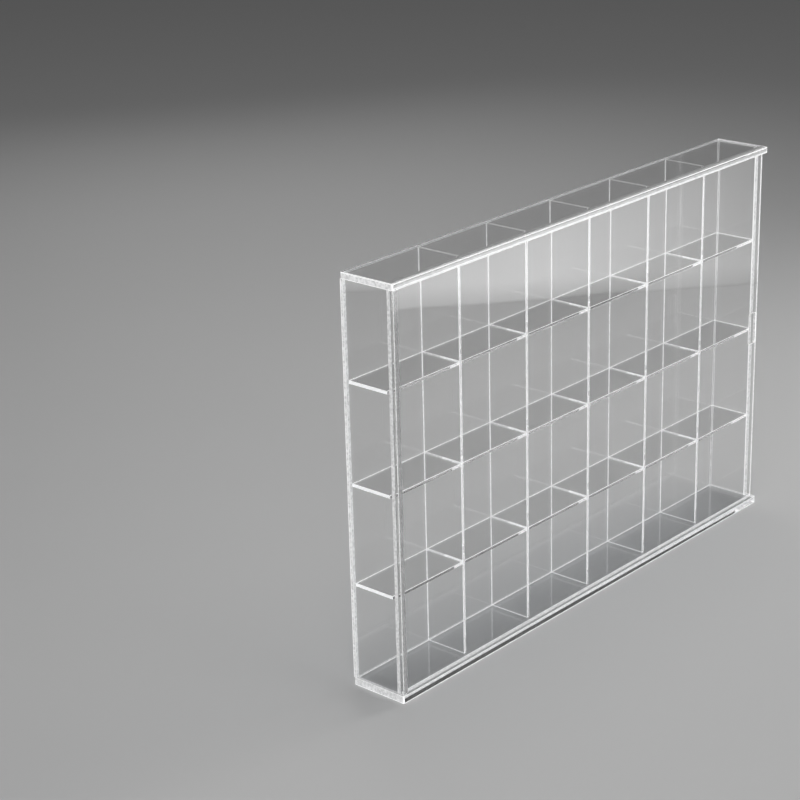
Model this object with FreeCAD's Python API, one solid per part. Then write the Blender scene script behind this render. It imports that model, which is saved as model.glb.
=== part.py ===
"""Clear acrylic display box for jewellery: a slim case of 24 compartments behind a sliding front door.

Millimetres. X runs along the width, +Y to the back, +Z up. The origin is the middle of the case's
footprint on the surface that it stands on. The case is cemented from cut sheets. The door runs in
grooves in the base, the top and the left side, and comes out to the right past a side that is set back.
"""

import FreeCAD
import Part
import os

from FreeCAD import Vector

# Whole case
case_width = 360.0
case_depth = 37.5
case_height = 246.0

# Sheet thicknesses
base_sheet = 4.8
top_sheet = 3.8
side_sheet = 3.8
back_sheet = 2.0
grid_sheet = 2.0
door_sheet = 2.0

# Film of cement in each glued joint
cement_film = 0.05

# Compartments
columns = 6
rows = 4
bottom_row_short = 1.5
top_row_short = 0.8
lap_clearance = 0.1

# Door and its track
lip_depth = 3.2
track_clearance = 0.2
top_groove_depth = 1.6
base_groove_depth = 2.8
side_groove_depth = 1.5
door_foot_clearance = 0.1
door_head_clearance = 0.3
door_end_clearance = 0.1
door_end_short = 0.5
door_to_grid_gap = 2.3

# Finger slot in the door
finger_slot_width = 7.0
finger_slot_height = 20.5
finger_slot_level = 124.7
finger_slot_radius = 1.0
pull_strip = 1.2

# Edges and corners
plate_corner_radius = 1.2
edge_break = 0.3
grid_edge_break = 0.15

# Faces and planes of the case, worked out from the sizes above
left_face = -case_width / 2
right_face = case_width / 2
front_face = -case_depth / 2
rear_face = case_depth / 2
back_front = rear_face - back_sheet
inner_left = left_face + side_sheet
inner_right = right_face - side_sheet
floor_level = base_sheet
ceiling_level = case_height - top_sheet
wall_foot = floor_level + cement_film
wall_head = ceiling_level - cement_film
wall_rear = back_front - cement_film

# Door track
groove_width = door_sheet + 2 * track_clearance
groove_front = front_face + lip_depth
groove_rear = groove_front + groove_width
groove_left = inner_left - side_groove_depth
door_front = groove_front + track_clearance
door_left = groove_left + door_end_clearance
door_right = right_face - door_end_short
door_foot = floor_level - base_groove_depth + door_foot_clearance
door_head = ceiling_level + top_groove_depth - door_head_clearance
slot_right = door_right - pull_strip
slot_left = slot_right - finger_slot_width

# Grid of compartments
grid_front = groove_rear + door_to_grid_gap
grid_left = inner_left + cement_film
grid_right = inner_right - cement_film
lap_plane = (grid_front + wall_rear) / 2
cell_width = (inner_right - inner_left - (columns - 1) * grid_sheet) / columns
row_shortfall = bottom_row_short + top_row_short
cell_height = (ceiling_level - floor_level - (rows - 1) * grid_sheet + row_shortfall) / rows
lap_slot_width = grid_sheet + 2 * lap_clearance
tolerance = 1e-4


def prism(outline, travel):
    """Solid swept from a closed outline of points along a straight travel."""
    wire = Part.makePolygon(outline + outline[:1])
    return Part.Face(wire).extrude(travel)


def block(low, high):
    """Rectangular solid between two corners."""
    size = high - low
    return Part.makeBox(size.x, size.y, size.z, low)


def edges_where(shape, on_line):
    """Edges whose ends and middle all pass a test of position."""
    picked = []
    for edge in shape.Edges:
        middle = edge.valueAt((edge.FirstParameter + edge.LastParameter) / 2)
        points = [vertex.Point for vertex in edge.Vertexes] + [middle]
        if all(on_line(point) for point in points):
            picked.append(edge)
    return picked


def near(value, target):
    """True where two lengths are the same."""
    return abs(value - target) < tolerance


def plate_blank(low_z, high_z):
    """Full plate of the case's footprint with rounded upright corners."""
    plate = block(Vector(left_face, front_face, low_z), Vector(right_face, rear_face, high_z))

    def at_corner(point):
        return near(abs(point.x), right_face) and near(abs(point.y), rear_face)

    return plate.makeFillet(plate_corner_radius, edges_where(plate, at_corner))


def break_rim(plate, level):
    """Plate with the sharp rim of its face at one level broken."""
    return plate.makeChamfer(edge_break, edges_where(plate, lambda point: near(point.z, level)))


def door_groove(low_z, high_z):
    """Cutter for the groove in a plate: it stops at the left side and runs out at the right."""
    low = Vector(groove_left, groove_front, low_z)
    high = Vector(right_face + groove_width, groove_rear, high_z)
    return block(low, high)


def make_base_plate():
    """Thick plate that the case stands on, with the door's lower groove."""
    plate = break_rim(plate_blank(0, floor_level), 0)
    return plate.cut(door_groove(floor_level - base_groove_depth, floor_level + base_groove_depth))


def make_top_plate():
    """Lid plate with the door's upper groove in its underside."""
    plate = break_rim(plate_blank(ceiling_level, case_height), case_height)
    return plate.cut(door_groove(ceiling_level - top_groove_depth, ceiling_level + top_groove_depth))


def make_back_panel():
    """Full-width panel that stands between the two plates."""
    low = Vector(left_face, back_front, wall_foot)
    return block(low, Vector(right_face, rear_face, wall_head))


def break_front(sheet, front, size):
    """Sheet with the long sharp corners of its front edge broken, and its short ends left square."""
    along = edges_where(sheet, lambda point: near(point.y, front))
    return sheet.makeChamfer(size, [edge for edge in along if edge.Length > 2 * side_sheet])


def make_left_side():
    """Full-depth side with an upright groove that takes the closed door's end."""
    outline = [
        Vector(left_face, front_face, wall_foot),
        Vector(inner_left, front_face, wall_foot),
        Vector(inner_left, groove_front, wall_foot),
        Vector(groove_left, groove_front, wall_foot),
        Vector(groove_left, groove_rear, wall_foot),
        Vector(inner_left, groove_rear, wall_foot),
        Vector(inner_left, wall_rear, wall_foot),
        Vector(left_face, wall_rear, wall_foot),
    ]
    side = prism(outline, Vector(0, 0, wall_head - wall_foot))
    return break_front(side, front_face, edge_break)


def make_right_side():
    """Side that is set back behind the door, so that the door can pass in front of it."""
    low = Vector(inner_right, grid_front, wall_foot)
    side = block(low, Vector(right_face, wall_rear, wall_head))
    return break_front(side, grid_front, edge_break)


def divider_left(index):
    """X of the left face of one upright divider, counted from 0 at the left."""
    return inner_left + (index + 1) * cell_width + index * grid_sheet


def shelf_underside(index):
    """Z of the underside of one shelf, counted from 0 at the bottom."""
    return floor_level - bottom_row_short + (index + 1) * cell_height + index * grid_sheet


def make_shelf(index):
    """Shelf across the whole case, slotted from the front for every divider."""
    level = shelf_underside(index)
    slot_end = lap_plane + lap_clearance
    outline = [Vector(grid_left, wall_rear, level), Vector(grid_left, grid_front, level)]
    for divider in range(columns - 1):
        slot_left = divider_left(divider) - lap_clearance
        slot_right = slot_left + lap_slot_width
        outline.append(Vector(slot_left, grid_front, level))
        outline.append(Vector(slot_left, slot_end, level))
        outline.append(Vector(slot_right, slot_end, level))
        outline.append(Vector(slot_right, grid_front, level))
    outline.append(Vector(grid_right, grid_front, level))
    outline.append(Vector(grid_right, wall_rear, level))
    return break_front(prism(outline, Vector(0, 0, grid_sheet)), grid_front, grid_edge_break)


def make_divider(index):
    """Upright divider from base to top, slotted from the back for every shelf."""
    side = divider_left(index)
    outline = [Vector(side, grid_front, wall_head), Vector(side, grid_front, wall_foot)]
    outline.append(Vector(side, wall_rear, wall_foot))
    for shelf in range(rows - 1):
        slot_low = shelf_underside(shelf) - lap_clearance
        slot_high = slot_low + lap_slot_width
        outline.append(Vector(side, wall_rear, slot_low))
        outline.append(Vector(side, lap_plane, slot_low))
        outline.append(Vector(side, lap_plane, slot_high))
        outline.append(Vector(side, wall_rear, slot_high))
    outline.append(Vector(side, wall_rear, wall_head))
    return break_front(prism(outline, Vector(grid_sheet, 0, 0)), grid_front, grid_edge_break)


def make_finger_slot():
    """Cutter for the rounded slot that a fingertip pulls the door by."""
    half_height = finger_slot_height / 2
    low = Vector(slot_left, door_front - door_sheet, finger_slot_level - half_height)
    high = Vector(slot_right, door_front + 2 * door_sheet, finger_slot_level + half_height)
    cutter = block(low, high)

    def along_y(point):
        return near(point.x, low.x) or near(point.x, high.x)

    corners = [edge for edge in edges_where(cutter, along_y) if near(edge.Length, high.y - low.y)]
    return cutter.makeFillet(finger_slot_radius, corners)


def make_sliding_door():
    """Sheet that closes the whole front, with a finger slot beside its right end."""
    low = Vector(door_left, door_front, door_foot)
    high = Vector(door_right, door_front + door_sheet, door_head)
    door = block(low, high).cut(make_finger_slot())

    def at_pull_end(point):
        return point.x > slot_left - tolerance and not near(point.z, low.z) and not near(point.z, high.z)

    def in_a_face(edge):
        return any(near(edge.BoundBox.YMin, y) and near(edge.BoundBox.YMax, y) for y in (low.y, high.y))

    rim = [edge for edge in door.Edges if in_a_face(edge) and at_pull_end(edge.BoundBox.Center)]
    return door.makeChamfer(edge_break, rim)


def build_nodes():
    """Every piece of the box under its own name."""
    nodes = {
        "base_plate": make_base_plate(),
        "top_plate": make_top_plate(),
        "back_panel": make_back_panel(),
        "left_side": make_left_side(),
        "right_side": make_right_side(),
        "sliding_door": make_sliding_door(),
    }
    for index in range(rows - 1):
        nodes["shelf_%d" % (index + 1)] = make_shelf(index)
    for index in range(columns - 1):
        nodes["divider_%d" % (index + 1)] = make_divider(index)
    return nodes


def main():
    """Write one file per piece and print what each one measures."""
    os.makedirs("parts", exist_ok=True)
    for name, shape in build_nodes().items():
        shape.exportStep("parts/%s.step" % name)
        box = shape.BoundBox
        corners = (box.XMin, box.XMax, box.YMin, box.YMax, box.ZMin, box.ZMax)
        spans = " ".join("%8.2f" % corner for corner in corners)
        print("%-13s solids %d valid %s volume %9.1f box %s" % (
            name, len(shape.Solids), shape.isValid(), shape.Volume, spans))


main()
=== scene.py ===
"""Looks of the clear acrylic display box: sheets, cut edges, glued joints, floor, light and camera."""
import math

import bpy
from mathutils import Matrix, Vector


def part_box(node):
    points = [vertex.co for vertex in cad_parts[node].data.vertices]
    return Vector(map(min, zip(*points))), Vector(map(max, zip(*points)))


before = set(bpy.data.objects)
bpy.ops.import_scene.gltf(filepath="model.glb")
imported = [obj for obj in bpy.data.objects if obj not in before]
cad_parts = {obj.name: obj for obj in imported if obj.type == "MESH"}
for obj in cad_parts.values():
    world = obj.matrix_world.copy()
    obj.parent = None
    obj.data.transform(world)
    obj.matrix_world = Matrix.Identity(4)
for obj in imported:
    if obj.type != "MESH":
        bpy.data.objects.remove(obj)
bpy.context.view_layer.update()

MM = 0.001

# Camera, in the part's own frame: angles in degrees, lengths in metres
CAMERA_AZIMUTH = -48.1327
CAMERA_ELEVATION = 20.6995
CAMERA_ROLL = -1.5185
CAMERA_DISTANCE = 1.1370842
CAMERA_TARGET = Vector((-0.176564, -0.01875, 0.1809035))
FOCAL_PIXELS = 2144.8072
PHOTO_PIXELS = 800
SENSOR = 36.0

# Clear acrylic, and the tint of the light that passes through a sheet
ACRYLIC_IOR = 1.49
SHADOW_TINT = (0.93, 0.935, 0.94, 1.0)
WHITE = (1.0, 1.0, 1.0, 1.0)

# A face squares up to an axis where its normal leans on it by more than this, and it is told by its
# place within this many millimetres
SQUARE = 0.9
PLACE_TOLERANCE = 0.06

# Saw and polish marks across a cut edge, and clouds in it, in millimetres
STREAK_SHORT = 0.5
STREAK_LONG = 4.0
STREAK_DEPTH = 0.02
CLOUD_SIZE = 1.6

# Octaves of finer detail in streaks, clouds and waves
STREAK_DETAIL = 4.0
CLOUD_DETAIL = 3.0
WAVE_DETAIL = 0.0

# Streaks that are left on a polished edge: their depth in millimetres, and its roughness
POLISHED_DEPTH = 0.004
POLISHED_ROUGHNESS = 0.04

# Slow waves of a broad face, in millimetres
WAVE_SIZE = 42.0
WAVE_DEPTH = 0.06

# Mottling of a cut face: streaks count this much beside clouds, and as their sum runs over the first
# pair, the share of the grey that is kept runs over the second
STREAK_SHARE = 0.5
MOTTLING_FROM = (0.58, 0.9)
MOTTLING_TO = (0.72, 1.0)

# Grey of a white edge, share of light that a matt face lets through, and the painted glow of rims and
# borders, which stands in for highlights caught at the edges
WHITE_EDGE = 0.86
THROUGH_SHARE = 0.4
RIM_PAINTED_GLOW = 0.3

# How much clouds add to the width of a cut edge's bright border, a painted highlight, in millimetres, and a
# least width that leaves no border
BORDER_MORE = 0.45
NO_BORDER = -9.0

# A cement joint turns from clear to a painted white glint, which stands in for light reflected inside the
# joint, between these two weights of how far it is seen aslant
JOINT_PAINTED_GLINT_TURNS = (0.2, 0.45)

# A light card's foot: its share of the full strength, and the width of its edge in metres
CARD_FOOT_SHARE = 0.4
CARD_FOOT_EDGE = 0.003

# The floor reaches this far from the middle and lies this far below the box, in metres
FLOOR_REACH = 20.0
FLOOR_DROP = 0.0002
FLOOR_GREY = 0.6

SURROUND_STRENGTH = 0.06
LIGHT_BOUNCES = 40

# A face of a sheet: its axis, and its low or high end
LEFT, RIGHT = (0, 0), (0, 1)
FRONT, REAR = (1, 0), (1, 1)
FOOT, HEAD = (2, 0), (2, 1)


def set_world(strength):
    """Plain grey surround."""
    world = bpy.data.worlds.new("surround")
    bpy.context.scene.world = world
    world.use_nodes = True
    background = world.node_tree.nodes["Background"]
    background.inputs["Color"].default_value = WHITE
    background.inputs["Strength"].default_value = strength


def make_camera():
    """Camera at the photograph's place and angle."""
    azimuth = math.radians(CAMERA_AZIMUTH)
    elevation = math.radians(CAMERA_ELEVATION)
    back = Vector((
        math.sin(azimuth) * math.cos(elevation),
        -math.cos(azimuth) * math.cos(elevation),
        math.sin(elevation)))
    data = bpy.data.cameras.new("camera")
    data.sensor_width = SENSOR
    data.lens = FOCAL_PIXELS / PHOTO_PIXELS * SENSOR
    data.clip_start = 0.01
    data.clip_end = 50.0
    camera = bpy.data.objects.new("camera", data)
    bpy.context.scene.collection.objects.link(camera)
    right = (-back).cross(Vector((0, 0, 1))).normalized()
    up = right.cross(-back)
    roll = math.radians(CAMERA_ROLL)
    rolled_right = right * math.cos(roll) + up * math.sin(roll)
    rolled_up = up * math.cos(roll) - right * math.sin(roll)
    turn = Matrix((rolled_right, rolled_up, back)).transposed()
    camera.matrix_world = Matrix.Translation(CAMERA_TARGET + back * CAMERA_DISTANCE) @ turn.to_4x4()
    bpy.context.scene.camera = camera


def new_material(name):
    """Empty node material and its output."""
    material = bpy.data.materials.new(name)
    material.use_nodes = True
    nodes = material.node_tree.nodes
    nodes.clear()
    output = nodes.new("ShaderNodeOutputMaterial")
    return material, nodes, material.node_tree.links, output


def math_node(nodes, links, operation, *values):
    """Output of one sum on numbers or other nodes' outputs."""
    node = nodes.new("ShaderNodeMath")
    node.operation = operation
    for place, value in enumerate(values):
        if isinstance(value, (int, float)):
            node.inputs[place].default_value = value
        else:
            links.new(value, node.inputs[place])
    return node.outputs[0]


def mix_shaders(nodes, links, factor, first, second):
    """Output of a mix of two shaders."""
    mix = nodes.new("ShaderNodeMixShader")
    if isinstance(factor, (int, float)):
        mix.inputs["Fac"].default_value = factor
    else:
        links.new(factor, mix.inputs["Fac"])
    links.new(first, mix.inputs[1])
    links.new(second, mix.inputs[2])
    return mix.outputs[0]


def clear_shader(nodes, links, roughness, bump):
    """Polished acrylic: bends what is seen through it, and lets light on to what is behind it."""
    glass = nodes.new("ShaderNodeBsdfPrincipled")
    glass.inputs["Base Color"].default_value = WHITE
    glass.inputs["Roughness"].default_value = roughness
    glass.inputs["IOR"].default_value = ACRYLIC_IOR
    glass.inputs["Transmission Weight"].default_value = 1.0
    links.new(bump, glass.inputs["Normal"])
    window = nodes.new("ShaderNodeBsdfTransparent")
    window.inputs["Color"].default_value = SHADOW_TINT
    path = nodes.new("ShaderNodeLightPath")
    either = math_node(nodes, links, "MAXIMUM", path.outputs["Is Shadow Ray"], path.outputs["Is Diffuse Ray"])
    return mix_shaders(nodes, links, either, glass.outputs["BSDF"], window.outputs["BSDF"])


def noise(nodes, links, coordinates, cell, detail):
    """Noise between 0 and 1 with cells of a size in millimetres along X, Y and Z."""
    mapping = nodes.new("ShaderNodeMapping")
    mapping.inputs["Scale"].default_value = [1.0 / (MM * size) for size in cell]
    links.new(coordinates, mapping.inputs["Vector"])
    texture = nodes.new("ShaderNodeTexNoise")
    texture.inputs["Scale"].default_value = 1.0
    texture.inputs["Detail"].default_value = detail
    links.new(mapping.outputs["Vector"], texture.inputs["Vector"])
    return texture.outputs["Fac"]


def ramp(nodes, links, factor, low, high, start, end):
    """Value that runs between two ends where a factor runs from low to high."""
    node = nodes.new("ShaderNodeMapRange")
    node.inputs["From Min"].default_value = low
    node.inputs["From Max"].default_value = high
    node.inputs["To Min"].default_value = start
    node.inputs["To Max"].default_value = end
    links.new(factor, node.inputs["Value"])
    return node.outputs["Result"]


def height_bump(nodes, links, height, depth):
    """Normal of a surface whose height follows a factor, with a depth in metres."""
    node = nodes.new("ShaderNodeBump")
    node.inputs["Strength"].default_value = 1.0
    node.inputs["Distance"].default_value = depth
    links.new(height, node.inputs["Height"])
    return node.outputs["Normal"]


def matt_shader(nodes, links, grey, bump, painted_glow):
    """White matt surface that is lit from both sides, with a painted glow: an emission that stands in for
    light carried through its sheet.
    """
    front = nodes.new("ShaderNodeBsdfDiffuse")
    links.new(grey, front.inputs["Color"])
    links.new(bump, front.inputs["Normal"])
    through = nodes.new("ShaderNodeBsdfTranslucent")
    links.new(grey, through.inputs["Color"])
    matt = mix_shaders(nodes, links, THROUGH_SHARE, front.outputs["BSDF"], through.outputs["BSDF"])
    # Painted glow: this emission stands in for light carried through the sheet to its cut faces; the face is
    # no lamp
    light = nodes.new("ShaderNodeEmission")
    links.new(grey, light.inputs["Color"])
    links.new(painted_glow, light.inputs["Strength"])
    both = nodes.new("ShaderNodeAddShader")
    links.new(matt, both.inputs[0])
    links.new(light.outputs["Emission"], both.inputs[1])
    return both.outputs[0]


def sheet_material(node, finish):
    """Acrylic sheet: clear broad faces and polished edges, pale cut, milled and cemented ones, and bright
    rims and borders painted as highlights.

    Grooves and slots look the same way as the faces round them, so a face is told by its place too.
    """
    broad_axis = finish["broad"]
    polished = finish["polished"]
    material, nodes, links, output = new_material("acrylic_" + node)
    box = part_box(node)
    geometry = nodes.new("ShaderNodeNewGeometry")
    normal = nodes.new("ShaderNodeSeparateXYZ")
    links.new(geometry.outputs["True Normal"], normal.inputs[0])
    place = nodes.new("ShaderNodeTexCoord").outputs["Object"]
    split = nodes.new("ShaderNodeSeparateXYZ")
    links.new(place, split.inputs[0])
    slant = [math_node(nodes, links, "ABSOLUTE", normal.outputs[axis]) for axis in range(3)]

    def any_of(masks):
        whole = masks[0]
        for mask in masks[1:]:
            whole = math_node(nodes, links, "MAXIMUM", whole, mask)
        return whole

    def face(axis, end):
        squarely = math_node(nodes, links, "GREATER_THAN", slant[axis], SQUARE)
        end_place = box[end][axis]
        there = math_node(nodes, links, "COMPARE", split.outputs[axis], end_place, PLACE_TOLERANCE * MM)
        return math_node(nodes, links, "MULTIPLY", squarely, there)

    square = math_node(nodes, links, "GREATER_THAN", any_of(slant), SQUARE)
    rim = math_node(nodes, links, "SUBTRACT", 1.0, square)
    cell = [STREAK_SHORT, STREAK_SHORT, STREAK_SHORT]
    cell[broad_axis] = STREAK_LONG
    streaks = noise(nodes, links, place, cell, STREAK_DETAIL)
    clouds = noise(nodes, links, place, (CLOUD_SIZE, CLOUD_SIZE, CLOUD_SIZE), CLOUD_DETAIL)
    some_streaks = math_node(nodes, links, "MULTIPLY", streaks, STREAK_SHARE)
    mixed = math_node(nodes, links, "ADD", some_streaks, clouds)
    mottling = ramp(nodes, links, mixed, *MOTTLING_FROM, *MOTTLING_TO)
    # Painted highlight: a band along each cut edge's borders is made matt and bright, standing in for light
    # caught at the edge
    ragged = math_node(nodes, links, "MULTIPLY", clouds, BORDER_MORE * MM)
    borders = []
    for end, side in ((0, 1.0), (1, -1.0)):
        start = -side * box[end][broad_axis]
        depth = math_node(nodes, links, "MULTIPLY_ADD", split.outputs[broad_axis], side, start)
        beyond = math_node(nodes, links, "SUBTRACT", depth, ragged)
        borders.append(math_node(nodes, links, "LESS_THAN", beyond, finish["border"][end] * MM))
    border = any_of(borders)
    milled = ramp(nodes, links, slant[broad_axis], 0.0, 1.0, finish["wall"], finish["floor"])
    white_mask = any_of([face(*which) for which in finish["white"]])
    white = math_node(nodes, links, "MULTIPLY", white_mask, WHITE_EDGE)
    level = math_node(nodes, links, "MAXIMUM", milled, white)
    core = math_node(nodes, links, "MULTIPLY", level, mottling)
    # Painted highlight: oblique rims and edge borders get a bright grey of their own
    painted_highlight_outline = math_node(nodes, links, "MULTIPLY", any_of([rim, border]), finish["rim"])
    grey = math_node(nodes, links, "MAXIMUM", core, painted_highlight_outline)
    # Painted glow: each cut face's own strength, raised to the rim strength on the painted bright rims and
    # borders
    painted_glow = ramp(nodes, links, painted_highlight_outline, 0.0, 1.0, finish["painted_glow"], RIM_PAINTED_GLOW)
    matt = matt_shader(nodes, links, grey, height_bump(nodes, links, streaks, STREAK_DEPTH * MM), painted_glow)

    waves = noise(nodes, links, place, (WAVE_SIZE, WAVE_SIZE, WAVE_SIZE), WAVE_DETAIL)
    broad = clear_shader(nodes, links, 0.0, height_bump(nodes, links, waves, WAVE_DEPTH * MM))
    surface = mix_shaders(nodes, links, any_of([face(broad_axis, 0), face(broad_axis, 1)]), matt, broad)
    if polished:
        marks = height_bump(nodes, links, streaks, POLISHED_DEPTH * MM)
        edge = clear_shader(nodes, links, POLISHED_ROUGHNESS, marks)
        inside = math_node(nodes, links, "SUBTRACT", 1.0, border)
        clear = math_node(nodes, links, "MULTIPLY", any_of([face(*which) for which in polished]), inside)
        surface = mix_shaders(nodes, links, clear, surface, edge)
    if finish.get("rear_clear_with_painted_glint"):
        # A clear cement joint: it is seen through squarely, and from the side it shows a painted white line
        # that stands in for light reflected inside the joint
        weight = nodes.new("ShaderNodeLayerWeight")
        squarely = ramp(nodes, links, weight.outputs["Facing"], *JOINT_PAINTED_GLINT_TURNS, 1.0, 0.0)
        through = math_node(nodes, links, "MULTIPLY", face(*REAR), squarely)
        surface = mix_shaders(nodes, links, through, surface, broad)
    links.new(surface, output.inputs["Surface"])
    return material


def dress(node, material):
    """Gives a CAD piece its material."""
    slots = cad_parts[node].data.materials
    slots.clear()
    slots.append(material)


def make_floor():
    """Plain pale floor."""
    mesh = bpy.data.meshes.new("floor")
    signs = ((-1, -1), (1, -1), (1, 1), (-1, 1))
    corners = [(along * FLOOR_REACH, deep * FLOOR_REACH, -FLOOR_DROP) for along, deep in signs]
    mesh.from_pydata(corners, [], [(0, 1, 2, 3)])
    floor = bpy.data.objects.new("floor", mesh)
    bpy.context.scene.collection.objects.link(floor)
    material, nodes, links, output = new_material("floor")
    paint = nodes.new("ShaderNodeBsdfDiffuse")
    paint.inputs["Color"].default_value = (FLOOR_GREY, FLOOR_GREY, FLOOR_GREY, 1.0)
    links.new(paint.outputs["BSDF"], output.inputs["Surface"])
    mesh.materials.append(material)


def make_card(name, start, end, heights, along, strength):
    """Soft upright light card that only polished faces reflect, over a line on the floor.

    heights are the Z, and along the X, at which it starts, is full, starts to fade and is dark again.
    Its foot has a crisp edge and starts at part of its strength.
    """
    mesh = bpy.data.meshes.new(name)
    low = [Vector((start[0], start[1], heights[0])), Vector((end[0], end[1], heights[0]))]
    rise = Vector((0, 0, heights[3] - heights[0]))
    mesh.from_pydata([low[0], low[1], low[1] + rise, low[0] + rise], [], [(0, 1, 2, 3)])
    card = bpy.data.objects.new(name, mesh)
    bpy.context.scene.collection.objects.link(card)
    material, nodes, links, output = new_material(name)
    place = nodes.new("ShaderNodeSeparateXYZ")
    links.new(nodes.new("ShaderNodeTexCoord").outputs["Object"], place.inputs[0])
    share = ramp(nodes, links, place.outputs[2], heights[0], heights[1], CARD_FOOT_SHARE * strength, strength)
    edge = ramp(nodes, links, place.outputs[2], heights[0], heights[0] + CARD_FOOT_EDGE, 0.0, 1.0)
    share = math_node(nodes, links, "MULTIPLY", share, edge)
    for axis, stops, first in ((2, heights[2:], 1.0), (0, along[:2], 0.0), (0, along[2:], 1.0)):
        fade = ramp(nodes, links, place.outputs[axis], stops[0], stops[1], first, 1.0 - first)
        share = math_node(nodes, links, "MULTIPLY", share, fade)
    light = nodes.new("ShaderNodeEmission")
    links.new(share, light.inputs["Strength"])
    links.new(light.outputs["Emission"], output.inputs["Surface"])
    mesh.materials.append(material)
    card.visible_camera = False
    card.visible_diffuse = False
    card.visible_transmission = False
    card.visible_shadow = False


def make_light(name, place, aim, size, power, spread):
    """Soft rectangular lamp, seen by matt surfaces only."""
    data = bpy.data.lights.new(name, "AREA")
    data.shape = "RECTANGLE"
    data.size, data.size_y = size
    data.energy = power
    data.spread = math.radians(spread)
    lamp = bpy.data.objects.new(name, data)
    bpy.context.scene.collection.objects.link(lamp)
    lamp.location = place
    lamp.rotation_euler = (Vector(aim) - Vector(place)).to_track_quat("-Z", "Y").to_euler()
    lamp.visible_camera = False
    lamp.visible_glossy = False
    lamp.visible_transmission = False


# Each sheet's broad axis, its polished edges, and its white edges. Then the greys of its grooves' floors
# and walls, the least border in millimetres at its low and its high face, the grey painted on rims and
# borders as a highlight, the strength of the glow painted on its cut faces (an emission that stands in for
# light carried through the sheet), and whether its rear joint is clear seen squarely, with a painted white
# glint seen aslant.
FINISHES = {
    "base_plate": {
        "broad": 2, "polished": (FRONT, REAR), "white": (LEFT, RIGHT),
        "floor": 0.85, "wall": 0.85, "border": (0.4, 0.1), "rim": 0.95, "painted_glow": 0.14},
    "top_plate": {
        "broad": 2, "polished": (FRONT, REAR), "white": (LEFT, RIGHT),
        "floor": 0.6, "wall": 0.6, "border": (0.1, 0.35), "rim": 0.95, "painted_glow": 0.12},
    "back_panel": {
        "broad": 1, "polished": (), "white": (LEFT, RIGHT, FOOT, HEAD),
        "floor": 0.9, "wall": 0.9, "border": (0.1, 0.1), "rim": 0.95, "painted_glow": 0.12},
    "left_side": {
        "broad": 0, "polished": (FRONT,), "white": (REAR, FOOT, HEAD),
        "floor": 0.85, "wall": 0.42, "border": (NO_BORDER, NO_BORDER), "rim": 0.4, "painted_glow": 0.12},
    "right_side": {
        "broad": 0, "polished": (), "white": (FRONT, FOOT, HEAD),
        "floor": 0.6, "wall": 0.6, "border": (0.3, 0.3), "rim": 0.95, "painted_glow": 0.12},
    "sliding_door": {
        "broad": 1, "polished": (), "white": (LEFT, RIGHT),
        "floor": 0.7, "wall": 0.7, "border": (0.1, 0.1), "rim": 0.9, "painted_glow": 0.12},
    "shelf": {
        "broad": 2, "polished": (FRONT,), "white": (LEFT, RIGHT, REAR),
        "floor": 0.9, "wall": 0.9, "border": (NO_BORDER, 0.15), "rim": 0.9, "painted_glow": 0.5,
        "rear_clear_with_painted_glint": True},
    "divider": {
        "broad": 0, "polished": (FRONT,), "white": (REAR, FOOT, HEAD),
        "floor": 0.9, "wall": 0.9, "border": (0.15, 0.15), "rim": 0.85, "painted_glow": 0.36},
}

# Light cards: the line on the floor that each stands over, its heights, its places along X, and its strength
CARDS = {
    "door_card": ((0.115, -0.657), (0.894, -0.029), (0, 0.02, 0.13, 0.22), (0.18, 0.3, 0.44, 0.68), 4.1),
    "side_card": ((-0.481, 0.827), (-0.961, 0.187), (0, 0.01, 0.08, 0.2), (-0.95, -0.85, -0.55, -0.49), 2.2),
    "top_card": ((-0.2, 1.3), (1.3, 0.0), (0.1, 0.4, 1.0, 1.4), (-0.2, 0.1, 1.0, 1.3), 0.2),
}

# Lamps: the place of each, the point that it is aimed at, its size, its power in watts and its spread in
# degrees
LAMPS = {
    "pool": ((0.1, 0.1, 1.5), (0.1, 0.1, 0), (0.8, 0.8), 2.6, 140),
    "room": ((1.5, 1.5, 4.0), (1.5, 1.5, 0), (3.0, 3.0), 12, 180),
    "key": ((-1.2, -0.75, 0.35), (0, 0, 0.14), (0.9, 0.5), 4.0, 90),
    "front": ((0.3, -1.5, 0.35), (0, 0, 0.14), (0.9, 0.5), 2.8, 90),
    "back": ((0.9, 1.3, 0.7), (0, 0, 0.12), (0.9, 0.6), 1.5, 90),
    "end": ((1.3, -0.35, 0.3), (0.18, 0, 0.12), (0.5, 0.4), 1.4, 60),
}

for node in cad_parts:
    kind = node if node in FINISHES else node.rsplit("_", 1)[0]
    dress(node, sheet_material(node, FINISHES[kind]))

make_camera()
set_world(SURROUND_STRENGTH)
make_floor()
for name, card in CARDS.items():
    make_card(name, *card)
for name, lamp in LAMPS.items():
    make_light(name, *lamp)

cycles = bpy.context.scene.cycles
cycles.max_bounces = LIGHT_BOUNCES
cycles.transmission_bounces = LIGHT_BOUNCES
cycles.glossy_bounces = LIGHT_BOUNCES
cycles.transparent_max_bounces = LIGHT_BOUNCES
bpy.context.scene.view_settings.view_transform = "Standard"
